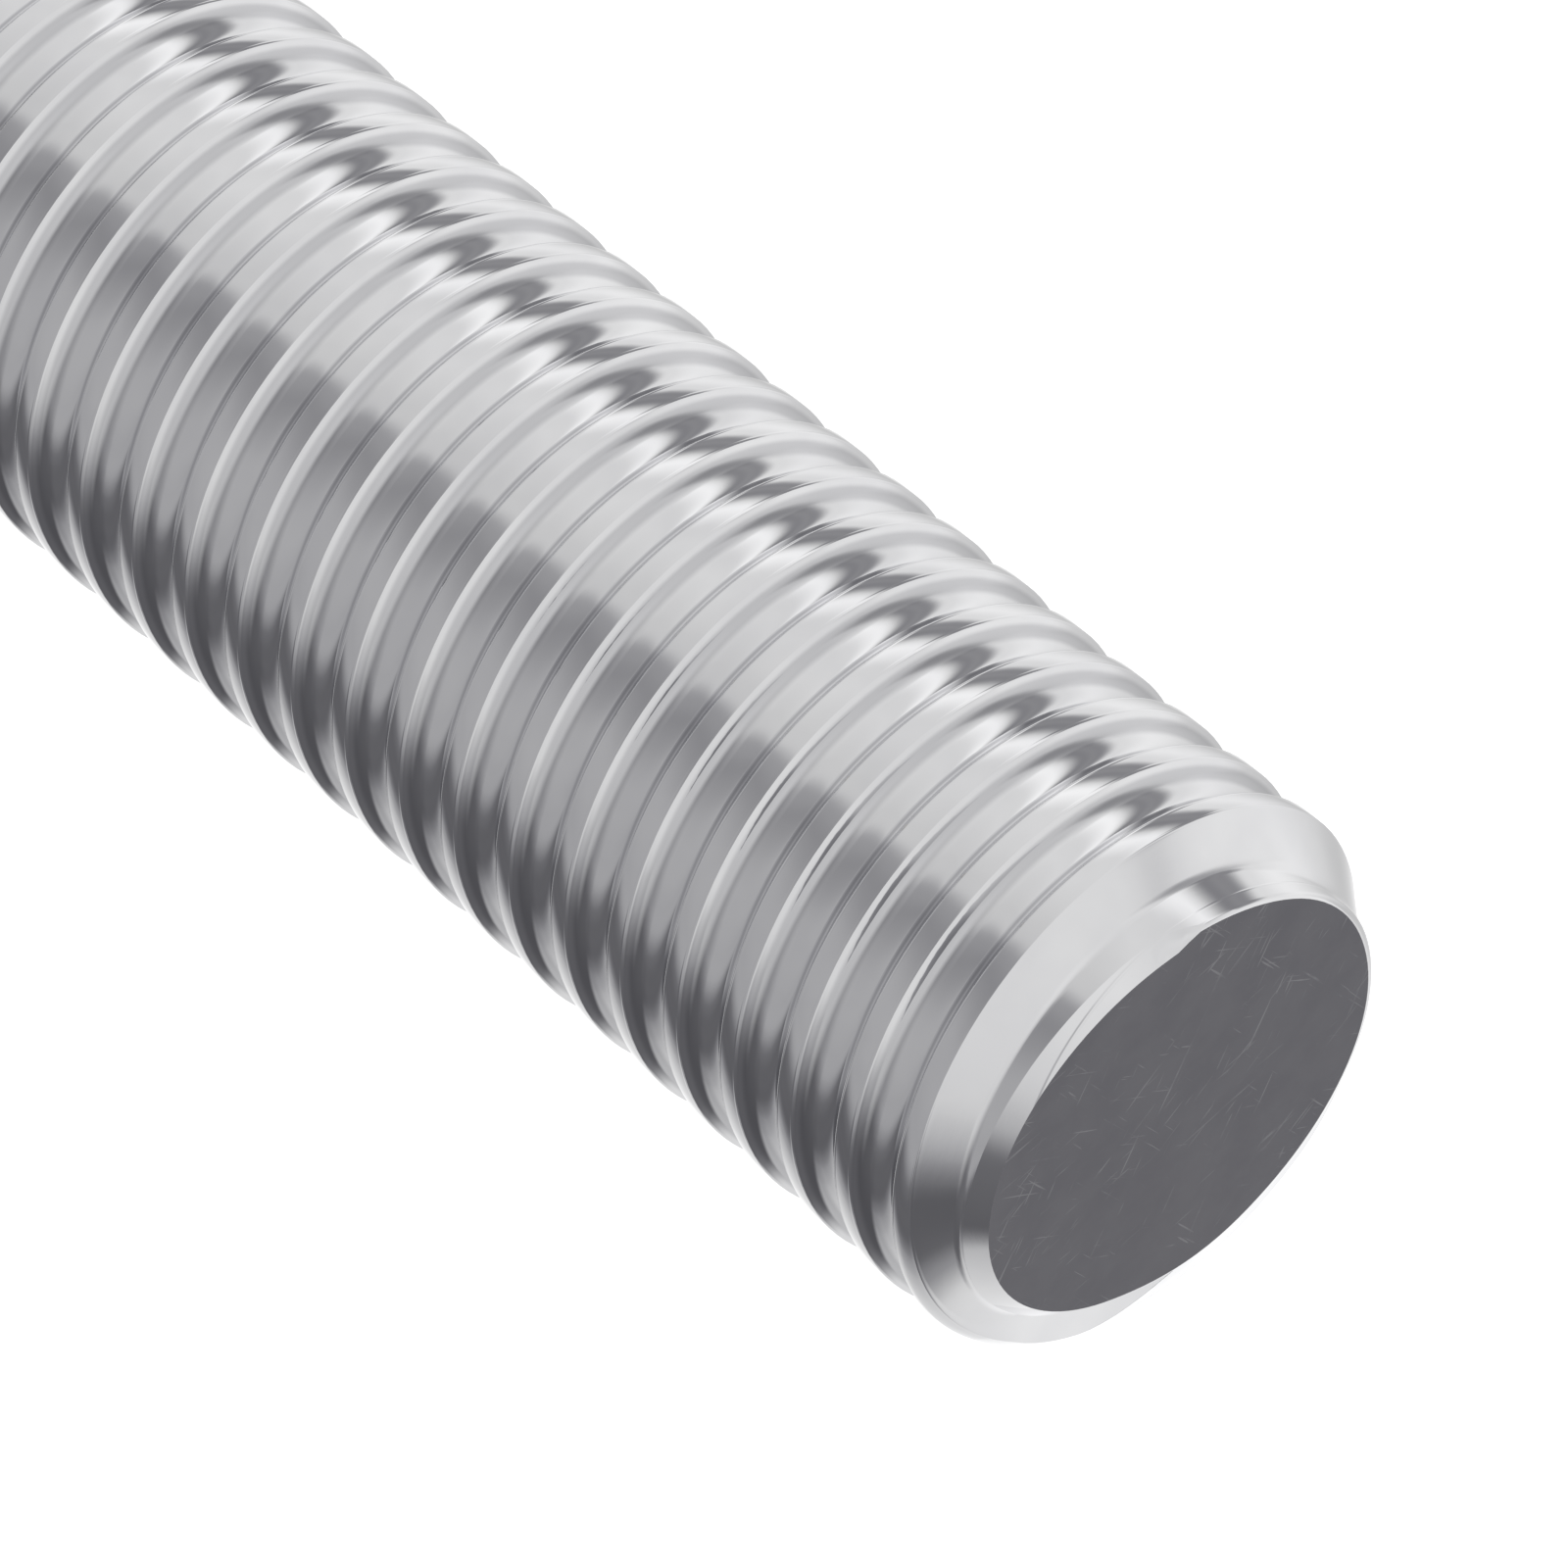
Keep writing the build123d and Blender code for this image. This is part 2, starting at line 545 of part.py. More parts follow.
def build_parts():
    """Every node's solid by name."""
    parts = {
        "support_housing": support_housing(),
        "bearing_cover": bearing_cover(),
        "cover_screws": cover_screws(),
        "oil_seal_drive_side": oil_seal(-HOUSING_FACE_X + SEAL_SET_BACK),
        "oil_seal_nut_side": oil_seal(HOUSING_FACE_X),
    }
    for name, x_low in (("drive_side", BEARING_START_X), ("nut_side", BEARING_START_X + BEARING_WIDTH)):
        outer, inner, cage, balls = bearing_parts(x_low)
        parts["bearing_outer_ring_" + name] = outer
        parts["bearing_inner_ring_" + name] = inner
        parts["bearing_cage_" + name] = cage
        parts["bearing_balls_" + name] = balls
    collar_x = BEARING_START_X - OUTER_COLLAR_LENGTH
    nut_x = collar_x - LOCK_NUT_LENGTH
    nut_mid = nut_x + LOCK_NUT_LENGTH / 2
    parts["collar_drive_side"] = ring(collar_x, BEARING_START_X, SEAT_R, COLLAR_DIA / 2)
    parts["collar_nut_side"] = ring(BEARING_END_X, SHOULDER_X, SEAT_R, COLLAR_DIA / 2)
    parts["lock_nut"] = lock_nut(nut_x)
    parts["lock_nut_pads"] = lock_nut_pads(nut_mid)
    parts["lock_nut_set_screws"] = lock_nut_set_screws(nut_mid)
    parts["nut_body"] = nut_body()
    for index in range(CIRCUITS):
        parts["return_deflector_" + str(index + 1)] = return_deflector(index)
        parts["ball_circuit_" + str(index + 1)] = ball_circuit(index)
    wiper_starts = (NUT_X + WIPER_POCKET_DEPTH - WIPER_WIDTH, NUT_END_X - WIPER_POCKET_DEPTH)
    for name, wiper_x, snap_x in zip(("flange_end", "free_end"), wiper_starts, snap_ring_starts()):
        parts["wiper_" + name] = wiper(wiper_x)
        parts["wiper_snap_ring_" + name] = snap_ring(snap_x)
    parts["grease_nipple"] = grease_nipple()
    parts["screw_shaft"] = screw_shaft()
    return parts


os.makedirs("parts", exist_ok=True)
for node, shape in build_parts().items():
    export_step(shape, os.path.join("parts", node + ".step"))
    print(node, round(shape.volume, 1))
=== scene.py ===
import math

import bmesh
import bpy
import numpy as np
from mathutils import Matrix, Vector


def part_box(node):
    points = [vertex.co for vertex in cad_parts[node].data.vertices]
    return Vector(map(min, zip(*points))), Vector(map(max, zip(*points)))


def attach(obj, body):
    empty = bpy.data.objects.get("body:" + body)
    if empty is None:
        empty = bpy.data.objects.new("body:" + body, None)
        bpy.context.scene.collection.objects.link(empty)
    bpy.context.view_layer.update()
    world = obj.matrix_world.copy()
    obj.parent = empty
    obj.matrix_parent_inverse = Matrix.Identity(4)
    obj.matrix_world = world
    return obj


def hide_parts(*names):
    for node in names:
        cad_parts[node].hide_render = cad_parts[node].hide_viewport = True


# A ball screw drive: a rolled screw shaft on its support unit, with a ball nut. Metres and
# degrees. The shaft lies along +X. Angles about it run from +Z towards -Y.

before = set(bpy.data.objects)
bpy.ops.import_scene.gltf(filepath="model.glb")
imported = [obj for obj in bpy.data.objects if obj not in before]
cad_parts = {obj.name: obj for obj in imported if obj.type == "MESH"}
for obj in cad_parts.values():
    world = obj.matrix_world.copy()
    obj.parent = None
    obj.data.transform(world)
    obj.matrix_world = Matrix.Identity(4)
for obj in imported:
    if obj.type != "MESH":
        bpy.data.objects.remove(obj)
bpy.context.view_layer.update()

SHAFT_LOW, SHAFT_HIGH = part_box("screw_shaft")
COLLAR_LOW, COLLAR_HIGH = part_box("collar_nut_side")
AXIS_Z = (COLLAR_LOW.z + COLLAR_HIGH.z) / 2
MM = 0.001

# Thread
SCREW_R = (SHAFT_HIGH.y - SHAFT_LOW.y) / 2
LEAD = 5.0 * MM
GROOVE_R = 1.8 * MM
TRACK_R = 18.0 * MM
CREST_ROUND = 0.2 * MM
LIP_OFFSET = 0.62 * MM
LIP_WIDTH = 0.11 * MM
LIP_HEIGHT = 0.013 * MM
LAST_RIDGE_X = 288.0 * MM
RIDGE_ANGLE = 33.65
SEGMENTS = 112

# Free end, x from the last ridge
FADE_X = 0.9 * MM
STUB_X = 3.0 * MM
CREASE_X = 2.69 * MM
STUB_R = 14.88 * MM
FACE_X = 3.885 * MM
FACE_SLOPE_NEAR = 0.0645
FACE_SLOPE_SIDE = -0.03
END_BEVEL = 1.0 * MM
END_EASE = 0.3 * MM
FAR_EASE = 0.55 * MM
FAR_DROP = 0.8 * MM

END_EASE_SAG = 0.13
FACE_RINGS = (0.995, 0.66, 0.33, 0.04)
FADE_DROP = 0.67 * MM
FADE_POWER = 1.64
STUB_GAP = 0.05 * MM
EDGE_GAP = 0.01 * MM
CONE_START = 0.02
CONE_SPAN = 0.91
CONE_EDGE_ROUND = 0.1 * MM
CREASE_ROUND = 0.16 * MM
CREASE_CLIMB_AFTER = 0.6

# Where round the free end its features start and stop, each from none to full
BEVEL_WIDENS = (-36, -28)
BEVEL_NARROWS = (130, 172)
RIM_NEARS = (-110, -66)
RIM_LEAVES = (140, 180)
CREASE_FORMS = (-90, -45)
CREASE_FADES = (75, 125)
GROOVE_FADES = (-172, -105)
DROP_STARTS = (128, 165)

# Journals
SHOULDER_X = COLLAR_HIGH.x
DRIVE_END_X = SHAFT_LOW.x
LOCK_THREAD_START_X = -46.0 * MM
LOCK_THREAD_END_X = -24.0 * MM
LOCK_LEAD = 1.5 * MM
SEAT_R = 12.48 * MM
LOCK_R = 12.45 * MM
DRIVE_R = 10.0 * MM
CHAMFER = 1.0 * MM
JOURNAL_EASE = 0.15 * MM
CENTRE_R = 0.3 * MM
LOCK_THREAD_DEPTH = 0.9 * MM
LOCK_THREAD_PROFILE = ((0.0, 0.0), (0.08, 0.0), (0.42, 1.0), (0.58, 1.0), (0.92, 0.0))

# Meshes
MERGE_DISTANCE = 0.5e-6
SHORTEST_EDGE = 0.2e-6
SHARP_ANGLE = 28
THREAD_SHARP_ANGLE = 36
JOURNAL_SHARP_ANGLE = 30

# View
CAMERA_TARGET_X = LAST_RIDGE_X - 30.4 * MM
CAMERA_AZIMUTH = 50.28
CAMERA_ELEVATION = 43.82
CAMERA_DISTANCE = 729.3 * MM
CAMERA_LENS = 292.5
CAMERA_SENSOR = 36.0
FLOOR_HALF = 12.0
FLOOR_DROP = 0.2 * MM
FLOOR_WHITE = 0.85
FLOOR_GLOW = 0.72


# Camera

def add_camera():
    """A long lens from above the free end's front side."""
    target = Vector((CAMERA_TARGET_X, 0.0, AXIS_Z))
    azimuth = math.radians(CAMERA_AZIMUTH)
    elevation = math.radians(CAMERA_ELEVATION)
    back = Vector((
        math.sin(azimuth) * math.cos(elevation),
        -math.cos(azimuth) * math.cos(elevation),
        math.sin(elevation),
    ))
    data = bpy.data.cameras.new("camera")
    data.lens = CAMERA_LENS
    data.sensor_width = CAMERA_SENSOR
    data.clip_start = 0.01
    data.clip_end = 50.0
    camera = bpy.data.objects.new("camera", data)
    camera.location = target + back * CAMERA_DISTANCE
    camera.rotation_euler = (-back).to_track_quat("-Z", "Y").to_euler()
    bpy.context.scene.collection.objects.link(camera)
    bpy.context.scene.camera = camera


# Node helpers

class Nodes:
    """A short way to add and join the nodes of one tree."""

    def __init__(self, tree):
        self.tree = tree

    def add(self, kind, inputs=None, **settings):
        node = self.tree.nodes.new(kind)
        for name, value in settings.items():
            setattr(node, name, value)
        for name, value in (inputs or {}).items():
            self.feed(node.inputs[name], value)
        return node

    def feed(self, socket, value):
        if isinstance(value, bpy.types.NodeSocket):
            self.tree.links.new(value, socket)
        else:
            socket.default_value = value

    def math(self, operation, first, second=0.0):
        node = self.add("ShaderNodeMath", operation=operation)
        self.feed(node.inputs[0], first)
        self.feed(node.inputs[1], second)
        return node.outputs[0]

    def ramp(self, factor, stops, interpolation):
        node = self.add("ShaderNodeValToRGB", {"Fac": factor})
        node.color_ramp.interpolation = interpolation
        elements = node.color_ramp.elements
        while len(elements) < len(stops):
            elements.new(0.5)
        for element, (place, colour) in zip(elements, stops):
            element.position = place
            element.color = colour
        return node.outputs["Color"]

    def map_range(self, value, low, high, to_low=0.0, to_high=1.0):
        node = self.add(
            "ShaderNodeMapRange",
            {"Value": value, "From Min": low, "From Max": high, "To Min": to_low, "To Max": to_high},
            interpolation_type="SMOOTHSTEP",
        )
        return node.outputs["Result"]

    def noise(self, vector, scale, detail=3.0, roughness=0.55, distortion=0.0):
        node = self.add(
            "ShaderNodeTexNoise",
            {"Vector": vector, "Scale": scale, "Detail": detail, "Roughness": roughness,
             "Distortion": distortion},
        )
        return node.outputs["Fac"]

    def mix(self, factor, first, second):
        node = self.add("ShaderNodeMix", data_type="RGBA")
        self.feed(node.inputs[0], factor)
        self.feed(node.inputs[6], first)
        self.feed(node.inputs[7], second)
        return node.outputs[2]


def grey(level, coolness=0.0):
    """A linear colour of this display level from 0 to 255, a little bluer if asked."""
    share = level / 255
    linear = ((share + 0.055) / 1.055) ** 2.4
    return (linear, linear * (1 - 0.1 * coolness), linear * (1 + coolness), 1.0)


# Surroundings

WORLD_STRENGTH = 1.24

# Between these x of a direction one set of bands gives way to the next
TOWARDS_FREE_END = (0.28, 0.42)
NEAR_FREE_END = (0.66, 0.88)
AHEAD = (0.9, 0.985)
BEHIND = (-0.78, -0.97)
AHEAD_LEVEL = 206
BEHIND_LEVEL = 166

# Pairs of the angle about the shaft in degrees and a level from 0 to 255. These tables are a fault that is
# still in the script: their levels go back to a table that another program made from the photograph's
# reflections.
LIGHT_ROUND_SHAFT = (
    (-180, 205), (-165, 228), (-148, 240), (-128, 190), (-110, 200), (-90, 222), (-76, 212),
    (-69, 202), (-64, 142), (-57, 130), (-50, 134), (-45, 190), (-40, 226), (-34, 228), (-24, 206),
    (-8, 203), (12, 192), (22, 184), (27, 152), (34, 138), (43, 134), (62, 154), (80, 159),
    (98, 154), (110, 148), (118, 112), (124, 95), (133, 91), (142, 98), (149, 134), (158, 168),
    (180, 205),
)
LIGHT_TOWARDS_FREE_END = (
    (-180, 136), (-171, 196), (-150, 218), (-92, 218), (-74, 205), (-66, 160), (-55, 150), (-48, 170),
    (-42, 206), (-28, 206), (-8, 203), (12, 193), (23, 180), (29, 154), (43, 137), (62, 154),
    (80, 160), (98, 151), (108, 143), (119, 108), (132, 95), (171, 92), (180, 136),
)
LIGHT_NEAR_FREE_END = (
    (-180, 130), (-171, 196), (-150, 210), (-60, 207), (-20, 208), (10, 211), (40, 208), (100, 200),
    (124, 192), (138, 152), (149, 90), (171, 90), (180, 130),
)


def light_bands(make, place, levels):
    """Cool darks and neutral lights by the angle about the shaft."""
    stops = []
    for angle, level in levels:
        coolness = 0.12 * max(0.0, 1 - level / 190)
        stops.append((angle / 360 + 0.5, grey(level, coolness)))
    return make.ramp(place, stops, "CARDINAL")


def add_world():
    """Light and dark bands that run along the shaft and differ towards its free end, not a plain light."""
    world = bpy.data.worlds.new("studio")
    world.use_nodes = True
    tree = world.node_tree
    tree.nodes.clear()
    make = Nodes(tree)
    direction = make.add("ShaderNodeTexCoord").outputs["Generated"]
    parts = make.add("ShaderNodeSeparateXYZ", {"Vector": direction})
    x, y, z = (parts.outputs[name] for name in "XYZ")
    turn = make.math("ARCTAN2", make.math("MULTIPLY", y, -1.0), z)
    place = make.math("MULTIPLY_ADD", turn, 1 / (2 * math.pi))
    place.node.inputs[2].default_value = 0.5
    around = light_bands(make, place, LIGHT_ROUND_SHAFT)
    towards_end = light_bands(make, place, LIGHT_TOWARDS_FREE_END)
    near_end = light_bands(make, place, LIGHT_NEAR_FREE_END)
    colour = make.mix(make.map_range(x, *TOWARDS_FREE_END), around, towards_end)
    colour = make.mix(make.map_range(x, *NEAR_FREE_END), colour, near_end)
    colour = make.mix(make.map_range(x, *AHEAD), colour, grey(AHEAD_LEVEL))
    colour = make.mix(make.map_range(x, *BEHIND), colour, grey(BEHIND_LEVEL, 0.02))
    background = make.add("ShaderNodeBackground", {"Color": colour, "Strength": WORLD_STRENGTH})
    output = make.add("ShaderNodeOutputWorld")
    tree.links.new(background.outputs[0], output.inputs["Surface"])
    bpy.context.scene.world = world


def add_floor():
    """A plain white floor that keeps a faint shadow where the support unit stands."""
    size = FLOOR_HALF
    mesh = bpy.data.meshes.new("floor")
    corners = [(-size, -size, 0), (size, -size, 0), (size, size, 0), (-size, size, 0)]
    mesh.from_pydata(corners, [], [(0, 1, 2, 3)])
    floor = bpy.data.objects.new("floor", mesh)
    bpy.context.scene.collection.objects.link(floor)
    floor.location.z = -FLOOR_DROP
    floor.visible_glossy = False
    material = bpy.data.materials.new("floor")
    material.use_nodes = True
    tree = material.node_tree
    tree.nodes.clear()
    make = Nodes(tree)
    diffuse = make.add("ShaderNodeBsdfDiffuse", {"Color": (FLOOR_WHITE, FLOOR_WHITE, FLOOR_WHITE, 1)})
    glow = make.add("ShaderNodeEmission", {"Color": (1, 1, 1, 1), "Strength": FLOOR_GLOW})
    both = make.add("ShaderNodeAddShader")
    tree.links.new(diffuse.outputs[0], both.inputs[0])
    tree.links.new(glow.outputs[0], both.inputs[1])
    output = make.add("ShaderNodeOutputMaterial")
    tree.links.new(both.outputs[0], output.inputs["Surface"])
    mesh.materials.append(material)


# Materials

def new_material(name):
    """A node material, its helper and its shader."""
    material = bpy.data.materials.new(name)
    material.use_nodes = True
    tree = material.node_tree
    shader = tree.nodes["Principled BSDF"]
    return material, Nodes(tree), shader


def object_point(make, scale=(1.0, 1.0, 1.0)):
    """The point in the row frame, in metres, stretched."""
    coordinates = make.add("ShaderNodeTexCoord").outputs["Object"]
    mapping = make.add("ShaderNodeMapping", {"Vector": coordinates, "Scale": scale})
    return mapping.outputs["Vector"]


def bump(make, shader, height, distance, strength=1.0):
    """Fine relief from a height."""
    node = make.add("ShaderNodeBump", {"Height": height, "Distance": distance, "Strength": strength})
    make.feed(shader.inputs["Normal"], node.outputs["Normal"])


def scratches(make, seed, scale, thinness, turn):
    """Sparse thin straight lines at one slant, from 0 to 1."""
    coordinates = make.add("ShaderNodeTexCoord").outputs["Object"]
    turned = make.add("ShaderNodeMapping", {"Vector": coordinates, "Rotation": (math.radians(turn), 0, 0)})
    stretched = make.add(
        "ShaderNodeMapping",
        {"Vector": turned.outputs["Vector"], "Scale": (1, scale, scale / 22),
         "Location": (seed * 9, seed * 17, seed * 6)},
    )
    lines = make.noise(stretched.outputs["Vector"], 1.0, 1.0, 0.4, 0.25)
    return make.map_range(lines, thinness, thinness + 0.035)


def leads_past_ridge(make):
    """How many leads a point lies past the last ridge along its own helix, plus a half."""
    coordinates = make.add("ShaderNodeTexCoord").outputs["Object"]
    parts = make.add("ShaderNodeSeparateXYZ", {"Vector": coordinates})
    x, y, z = (parts.outputs[name] for name in "XYZ")
    height = make.math("SUBTRACT", z, AXIS_Z)
    turn = make.math("ARCTAN2", make.math("MULTIPLY", y, -1.0), height)
    leads = make.math("DIVIDE", make.math("SUBTRACT", x, LAST_RIDGE_X), LEAD)
    leads = make.math("SUBTRACT", leads, make.math("DIVIDE", turn, 2 * math.pi))
    return make.math("ADD", leads, 0.5 + RIDGE_ANGLE / 360)


def rolled_steel():
    """Bright rolled and polished steel: faint streaks, painted shade on the groove flanks just past the
    crests, thin lips on the crests.
    """
    material, make, shader = new_material("rolled_steel")
    point = object_point(make)
    leads = leads_past_ridge(make)
    past_crest = make.math("SUBTRACT", make.math("FRACT", leads), 0.5)
    cloudy = make.noise(point, 140.0, 3.0)
    fine = make.noise(object_point(make, (1.0, 0.25, 0.25)), 2600.0, 2.0)
    colour = make.mix(make.map_range(cloudy, 0.3, 0.7), (0.83, 0.83, 0.845, 1), (0.89, 0.89, 0.9, 1))
    # Painted shade: the base colour darkens on the groove flanks just past each crest, along the thread
    # only, to dim their reflection.
    flank_painted_shade = make.math("MULTIPLY", make.map_range(past_crest, 0.165, 0.195),
                      make.map_range(past_crest, 0.25, 0.32, 1.0, 0.0))
    flank_painted_shade = make.math("MULTIPLY", flank_painted_shade, make.math("LESS_THAN", leads, 0.0))
    colour = make.mix(make.math("MULTIPLY", flank_painted_shade, 0.6), colour, (0.5, 0.5, 0.52, 1))
    make.feed(shader.inputs["Base Color"], colour)
    shader.inputs["Metallic"].default_value = 1.0
    rough = make.math("MULTIPLY_ADD", fine, 0.03)
    rough.node.inputs[2].default_value = 0.01
    make.feed(shader.inputs["Roughness"], rough)
    from_lip = make.math("SUBTRACT", make.math("ABSOLUTE", past_crest), LIP_OFFSET / LEAD)
    lip_shape = make.map_range(make.math("ABSOLUTE", from_lip), 0.0, LIP_WIDTH / LEAD, 1.0, 0.0)
    lip = make.add("ShaderNodeBump", {"Height": lip_shape, "Distance": LIP_HEIGHT})
    grain = make.add("ShaderNodeBump", {"Height": fine, "Distance": 0.000004, "Strength": 0.35})
    make.feed(grain.inputs["Normal"], lip.outputs["Normal"])
    make.feed(shader.inputs["Normal"], grain.outputs["Normal"])
    return material


def sawn_steel():
    """The dark end face with its fine random scratches and nicks."""
    material, make, shader = new_material("sawn_steel")
    point = object_point(make)
    cloudy = make.noise(point, 260.0, 4.0)
    base = make.mix(make.map_range(cloudy, 0.25, 0.75), (0.114, 0.112, 0.127, 1), (0.15, 0.148, 0.163, 1))
    marks = scratches(make, 0.11, 3900.0, 0.7, 24)
    for seed, scale, thinness, turn in ((0.37, 5200.0, 0.71, -38), (0.73, 4300.0, 0.7, 71),
                                        (0.51, 5600.0, 0.71, -62), (0.9, 4800.0, 0.71, 47)):
        marks = make.math("MAXIMUM", marks, scratches(make, seed, scale, thinness, turn))
    marks = make.math("MULTIPLY", marks, make.map_range(make.noise(point, 300.0), 0.44, 0.62))
    colour = make.mix(make.math("MULTIPLY", marks, 0.3), base, (0.4, 0.4, 0.41, 1))
    make.feed(shader.inputs["Base Color"], colour)
    shader.inputs["Metallic"].default_value = 1.0
    rough = make.math("MULTIPLY_ADD", cloudy, 0.2)
    rough.node.inputs[2].default_value = 0.32
    make.feed(shader.inputs["Roughness"], rough)
    bump(make, shader, make.math("SUBTRACT", 1.0, marks), 0.000005, 0.3)
    return material


TOOL_MARK_STRETCH = (1.0, 0.05, 0.05)
TOOL_MARK_SCALE = 1500.0


def plain_metal(name, colour, roughness):
    """Turned or ground metal with tool marks."""
    material, make, shader = new_material(name)
    marks = make.noise(object_point(make, TOOL_MARK_STRETCH), TOOL_MARK_SCALE, 2.0)
    cloudy = make.noise(object_point(make), 90.0, 3.0)
    darker = tuple(0.82 * part for part in colour) + (1,)
    tone = make.mix(make.map_range(cloudy, 0.3, 0.7), darker, colour + (1,))
    make.feed(shader.inputs["Base Color"], tone)
    shader.inputs["Metallic"].default_value = 1.0
    rough = make.math("MULTIPLY_ADD", marks, 0.16)
    rough.node.inputs[2].default_value = roughness - 0.08
    make.feed(shader.inputs["Roughness"], rough)
    bump(make, shader, marks, 0.00001, 0.4)
    return material


def black_oxide(name, level, roughness):
    """Chemically blackened iron or steel, a little mottled."""
    material, make, shader = new_material(name)
    point = object_point(make)
    mottle = make.noise(point, 220.0, 5.0, 0.65)
    tone = make.mix(mottle, (0.6 * level, 0.6 * level, 0.63 * level, 1),
                    (1.5 * level, 1.5 * level, 1.55 * level, 1))
    make.feed(shader.inputs["Base Color"], tone)
    shader.inputs["Metallic"].default_value = 0.65
    rough = make.math("MULTIPLY_ADD", make.noise(point, 900.0, 3.0), 0.22)
    rough.node.inputs[2].default_value = roughness
    make.feed(shader.inputs["Roughness"], rough)
    bump(make, shader, make.noise(point, 1800.0, 2.0), 0.00002, 0.5)
    return material


GRAIN_SCALE = 1400.0


def moulded(name, colour, roughness):
    """Moulded plastic or rubber with a fine grain."""
    material, make, shader = new_material(name)
    point = object_point(make)
    tone = make.mix(make.noise(point, 160.0, 3.0), tuple(0.85 * part for part in colour) + (1,),
                    colour + (1,))
    make.feed(shader.inputs["Base Color"], tone)
    rough = make.math("MULTIPLY_ADD", make.noise(point, 500.0), 0.15)
    rough.node.inputs[2].default_value = roughness
    make.feed(shader.inputs["Roughness"], rough)
    bump(make, shader, make.noise(point, GRAIN_SCALE, 2.0), 0.00003, 0.6)
    return material


# Shaft mesh: rings and helical grids of one vertex for each angle

def crest_profile(lead, groove_r, track_r, crest_r, rounding, arc_steps, groove_steps):
    """Offsets along one lead from a crest's middle to the next, with the radius at each."""
    rise = track_r - crest_r + rounding
    run = math.sqrt((groove_r + rounding) ** 2 - rise ** 2)
    flat = lead / 2 - run
    slant = math.atan2(run, rise)
    half = [(0.0, crest_r)]
    for step in range(arc_steps + 1):
        turn = slant * step / arc_steps
        half.append((flat + rounding * math.sin(turn), crest_r - rounding + rounding * math.cos(turn)))
    for step in range(1, groove_steps + 1):
        turn = slant * (1 - step / groove_steps)
        half.append((lead / 2 - groove_r * math.sin(turn), track_r - groove_r * math.cos(turn)))
    back = [(lead - offset, radius) for offset, radius in reversed(half[1:-1])]
    points = np.array(half + back)
    return points[:, 0], points[:, 1], flat


def smooth_step(value, low, high):
    """A soft 0 to 1 as value goes from low to high."""
    share = np.clip((value - low) / (high - low), 0, 1)
    return share * share * (3 - 2 * share)


def smooth_min(first, second, width):
    """The lower of two heights, their crossing rounded over this width."""
    share = np.clip(0.5 + 0.5 * (second - first) / width, 0, 1)
    return second + (first - second) * share - width * share * (1 - share)


class Lathe:
    """Columns of vertices round the shaft. A helical grid's seam joins column c to c + shift."""

    def __init__(self):
        self.turns = -180 + 360 * np.arange(SEGMENTS) / SEGMENTS
        self.columns = []
        self.shifts = []

    def ring(self, x, radius):
        """One closed ring, its x and radius single numbers or one for each angle."""
        self.columns.append((x + 0 * self.turns, radius + 0 * self.turns))
        self.shifts.append(0)

    def grid(self, columns, shift):
        """Helical columns, each (x, radius) for each angle."""
        for number, (x, radius) in enumerate(columns):
            self.columns.append((x, radius))
            left = len(columns) - number - 1
            self.shifts.append(min(shift, left))

    def mesh(self, name):
        """The surface as a mesh with its coincident vertices merged."""
        x = np.array([column[0] for column in self.columns])
        radius = np.array([column[1] for column in self.columns])
        turn = np.radians(self.turns + RIDGE_ANGLE)
        points = np.stack([
            x, -radius * np.sin(turn), AXIS_Z + radius * np.cos(turn),
        ], axis=-1).reshape(-1, 3)
        count = len(self.columns)
        faces = []
        for column in range(count - 1):
            base, following = column * SEGMENTS, (column + 1) * SEGMENTS
            for row in range(SEGMENTS - 1):
                faces.append((base + row, base + row + 1, following + row + 1, following + row))
            near = self.shifts[column]
            far = self.shifts[column + 1]
            last = SEGMENTS - 1
            faces.append((
                base + last,
                (column + near) * SEGMENTS,
                (column + 1 + far) * SEGMENTS,
                following + last,
            ))
        faces.append(tuple(range(SEGMENTS)))
        faces.append(tuple(reversed(range((count - 1) * SEGMENTS, count * SEGMENTS))))
        mesh = bpy.data.meshes.new(name)
        mesh.from_pydata(points.tolist(), [], faces)
        work = bmesh.new()
        work.from_mesh(mesh)
        bmesh.ops.remove_doubles(work, verts=work.verts, dist=MERGE_DISTANCE)
        bmesh.ops.dissolve_degenerate(work, dist=SHORTEST_EDGE, edges=work.edges)
        bmesh.ops.recalc_face_normals(work, faces=work.faces)
        work.to_mesh(mesh)
        work.free()
        return mesh


def smooth(mesh, angle):
    """Smooth shading with edges kept sharp past this angle."""
    mesh.shade_smooth()
    mesh.set_sharp_from_angle(angle=math.radians(angle))


def add_piece(name, mesh, body, materials, replaced=()):
    """A finished visible piece that rides on a body."""
    piece = bpy.data.objects.new(name, mesh)
    bpy.context.scene.collection.objects.link(piece)
    for material in materials:
        mesh.materials.append(material)
    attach(piece, body)
    if replaced:
        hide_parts(*replaced)
    return piece


def face_place(turns, radius):
    """The end face's x, a little out of square."""
    near = radius * np.cos(np.radians(turns))
    side = radius * np.sin(np.radians(turns))
    return LAST_RIDGE_X + FACE_X + FACE_SLOPE_NEAR * near + FACE_SLOPE_SIDE * side


def end_bevel(turns):
    """The chamfer at the face's edge, wide on one side only, and how much of it is rounded over."""
    wide = smooth_step(turns, *BEVEL_WIDENS) * (1 - smooth_step(turns, *BEVEL_NARROWS))
    near = smooth_step(turns, *RIM_NEARS) * (1 - smooth_step(turns, *RIM_LEAVES))
    eased = FAR_EASE + (END_EASE - FAR_EASE) * near
    return eased + (END_BEVEL - eased) * wide, eased * (1 - wide)


